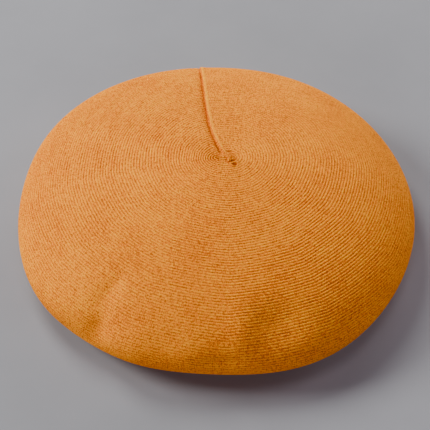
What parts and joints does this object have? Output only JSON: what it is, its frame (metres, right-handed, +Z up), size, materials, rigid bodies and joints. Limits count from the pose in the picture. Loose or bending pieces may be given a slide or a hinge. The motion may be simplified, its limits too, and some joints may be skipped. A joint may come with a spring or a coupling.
{
  "type": "knitted beret",
  "caption": "Soft round knitted wool beret with a shallow domed crown, one radial closing seam, a turned-under side and an elasticated hem round the head opening.",
  "frame": {"origin": "on the surface the beret rests on, under the middle of its widest outline", "axes": "+Z up through the crown, +Y towards the back where the closing seam runs, +X to the right seen from the front"},
  "size_m": [0.2774, 0.2757, 0.0746],
  "materials": {
    "wool_knit": "fine-gauge wool knit, lightly felted, matte with a soft nap",
    "seam_knit": "linked knit edge, matte",
    "linking_yarn": "twisted wool yarn, matte",
    "elastic_braid": "braided covered elastic, matte",
    "label_tape": "woven tape, soft satin, blank"
  },
  "bodies": {
    "beret": {"crown_knit": "wool_knit", "underside_knit": "wool_knit", "headband_welt": "wool_knit", "closing_seam": "seam_knit", "seam_selvedges": "seam_knit", "crown_tip_stitch": "linking_yarn", "gather_knot": "linking_yarn", "welt_stitch": "linking_yarn", "label_tack": "linking_yarn", "elastic_cord": "elastic_braid", "elastic_join": "elastic_braid"},
    "label": {"care_label": "label_tape"}
  },
  "joints": [
    {"name": "label_flap", "type": "hinge", "parent": "beret", "child": "label", "pos_m": [0.01373, 0.09, 0.0084], "axis": [0.9848, -0.1736, 0], "range_deg": [0, 150]}
  ]
}
